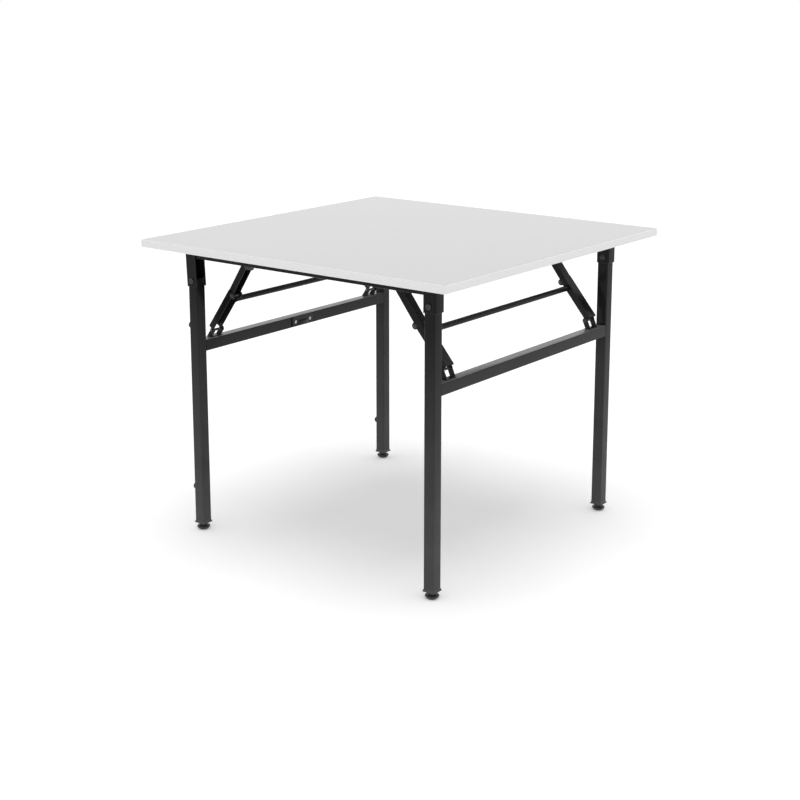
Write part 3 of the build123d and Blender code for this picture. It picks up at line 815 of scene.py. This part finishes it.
def frameWelds(side, look):
    # Over and under each end of the crossbar, and along both cheeks of each clevis
    barLow, barHigh = boxOf("crossbar_" + side)
    start, end = barLow[0] + look["barInset"], barHigh[0] - look["barInset"]
    shapes = []
    for y, inward in ((barLow[1], 1), (barHigh[1], -1)):
        for z, up in ((barHigh[2], 1), (barLow[2], -1)):
            shapes.append(straightBead((start, y, z), (end, y, z), (0, 0, up), (0, inward, 0),
                                       look["barSize"], look))
    for row in rows:
        low, high = boxOf("clevis_" + side + "_" + row)
        start = max(low[0], barLow[0]) + look["clevisInset"]
        end = min(high[0], barHigh[0]) - look["clevisInset"]
        for y, outward in ((low[1], -1), (high[1], 1)):
            shapes.append(straightBead((start, y, barHigh[2]), (end, y, barHigh[2]), (0, 0, 1),
                                       (0, outward, 0), look["clevisSize"], look))
    return joinShapes(shapes)


def rodWelds(side, look):
    # A ring of bead round each end of the rod, on the inner face of its link
    low, high = boxOf("connecting_rod_" + side)
    radius, centre = (high[2] - low[2]) / 2, (low + high) / 2
    angle = fullTurn(look["steps"])[0]
    radial = np.stack([np.cos(angle), 0 * angle, np.sin(angle)], axis=1)
    pitch = 2 * np.pi * radius / look["rodRipples"]
    shapes = []
    for y, inward in ((low[1], 1), (high[1], -1)):
        path = np.array([centre[0], y, centre[2]]) + radial * radius
        axis = np.tile([0.0, inward, 0.0], (len(path), 1))
        shapes.append(weldBead(path, radial, axis, look["rodSize"], pitch, None, look))
    return joinShapes(shapes)


for side in sides:
    frameBeads, rodBeads = frameWelds(side, weldLook), rodWelds(side, weldLook)
    newPiece("frame_welds_" + side, frameBeads, body="leg_frame_" + side, slotName="black_steel")
    newPiece("rod_welds_" + side, rodBeads, body="lower_braces_" + side, slotName="black_steel")
print("welds made")


# Floor, light and camera

studio = {
    "floorSize": 14.0, "floorTone": 0.90, "floorRoughness": 0.9, "floorGlow": 0.25,
    "rimLevel": 0.95, "crownLevel": 0.25,
    "sunLevel": 1.55, "sunSpread": 48.0, "sunTilt": 3.0, "sunTurn": 40.0,
}


def seenShare(tree):
    # 1 for what the camera, a gloss or a clear material looks at, and 0 for the light on the object
    path = addNode(tree, "LightPath")
    seen = combine(tree, "MAXIMUM", path.outputs["Is Camera Ray"], path.outputs["Is Glossy Ray"])
    return combine(tree, "MAXIMUM", seen, path.outputs["Is Transmission Ray"])


def makeFloor(look):
    half = look["floorSize"] / 2
    places = [(-half, -half, 0), (half, -half, 0), (half, half, 0), (-half, half, 0)]
    mesh = bpy.data.meshes.new("floor")
    mesh.from_pydata(places, [], [(0, 1, 2, 3)])
    floor = bpy.data.objects.new("floor", mesh)
    bpy.context.scene.collection.objects.link(floor)
    material, tree, shader, _ = newFinish("floorPaper", {
        "Base Color": (*grey(look["floorTone"]), 1.0), "Emission Color": (1, 1, 1, 1),
        "Roughness": look["floorRoughness"], "Specular IOR Level": 0.0,
    })
    glow = remap(tree, seenShare(tree), 0.0, 1.0, 0.0, look["floorGlow"])
    tree.links.new(glow, shader.inputs["Emission Strength"])
    mesh.materials.append(material)


def makeLight(look):
    world = bpy.data.worlds.new("studio")
    world.use_nodes = True
    tree = world.node_tree
    background = tree.nodes["Background"]
    background.inputs["Color"].default_value = (1, 1, 1, 1)
    # The dome is stronger round its rim than overhead, where the lamp is, and is seen as plain white
    direction = addNode(tree, "TexCoord").outputs["Generated"]
    rise = addNode(tree, "SeparateXYZ", {"Vector": direction}).outputs["Z"]
    dome = remap(tree, rise, 0.0, 1.0, look["rimLevel"], look["crownLevel"])
    level = remap(tree, seenShare(tree), 0.0, 1.0, dome, 1.0)
    tree.links.new(level, background.inputs["Strength"])
    bpy.context.scene.world = world
    lamp = bpy.data.lights.new("softSun", "SUN")
    lamp.energy = look["sunLevel"]
    lamp.angle = math.radians(look["sunSpread"])
    sun = bpy.data.objects.new("softSun", lamp)
    sun.rotation_euler = (math.radians(look["sunTilt"]), 0, math.radians(look["sunTurn"]))
    bpy.context.scene.collection.objects.link(sun)


shot = {
    "lens": 68.607, "sensor": 36.0, "place": (2.2375, -2.9112, 1.3654), "pitch": 12.391, "yaw": 37.72,
    "shiftY": -0.12,
}


def makeCamera(look):
    data = bpy.data.cameras.new("camera")
    data.lens = look["lens"]
    data.sensor_width = look["sensor"]
    data.shift_y = look["shiftY"]
    camera = bpy.data.objects.new("camera", data)
    camera.location = look["place"]
    camera.rotation_euler = (math.radians(90 - look["pitch"]), 0, math.radians(look["yaw"]))
    bpy.context.scene.collection.objects.link(camera)
    bpy.context.scene.camera = camera


makeFloor(studio)
makeLight(studio)
makeCamera(shot)
bpy.context.scene.view_settings.view_transform = "Standard"
print("studio set")

bpy.context.view_layer.update()
